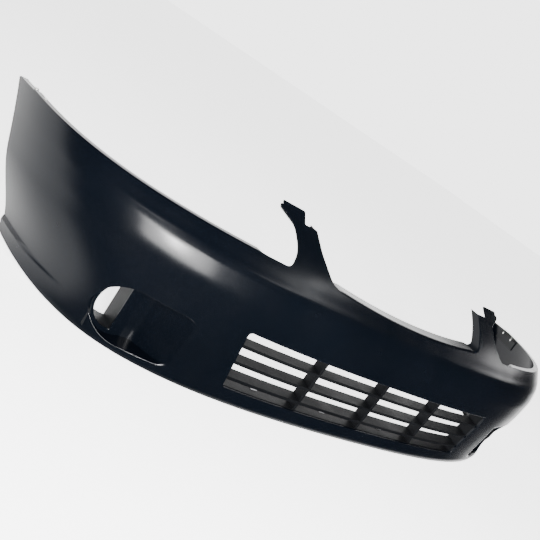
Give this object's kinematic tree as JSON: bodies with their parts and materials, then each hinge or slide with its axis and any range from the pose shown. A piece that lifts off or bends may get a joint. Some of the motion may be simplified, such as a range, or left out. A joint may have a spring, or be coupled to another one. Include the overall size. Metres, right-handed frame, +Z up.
{
  "type": "bumper cover",
  "caption": "Front bumper cover of a compact car with fog lamp pockets, a slatted lower air opening, two upright horns, wing brackets and fixings.",
  "frame": {"origin": "under the middle of the cover's overall box, on the plane of its lower edge", "axes": "+X across the car, +Y from the nose back along the wings, +Z up; the front of the car faces -Y"},
  "size_m": [1.7184, 0.51, 0.385],
  "materials": {
    "fascia_plastic": "smooth near-black moulded polypropylene, semi-gloss",
    "grille_plastic": "fine-grained black moulded plastic",
    "bracket_plastic": "plain black moulded plastic",
    "spring_steel": "phosphated spring steel",
    "zinc_steel": "zinc plated steel"
  },
  "bodies": {
    "root": {"bumper_fascia": "fascia_plastic", "lower_grille": "grille_plastic", "grille_clips_upper": "spring_steel", "grille_clips_lower": "spring_steel", "fog_lamp_bracket_left": "bracket_plastic", "fog_bracket_screws_left": "zinc_steel", "wing_bracket_left": "bracket_plastic", "wing_bracket_screws_left": "zinc_steel", "arch_liner_nuts_left": "spring_steel", "fog_lamp_bracket_right": "bracket_plastic", "fog_bracket_screws_right": "zinc_steel", "wing_bracket_right": "bracket_plastic", "wing_bracket_screws_right": "zinc_steel", "arch_liner_nuts_right": "spring_steel"}
  },
  "joints": []
}
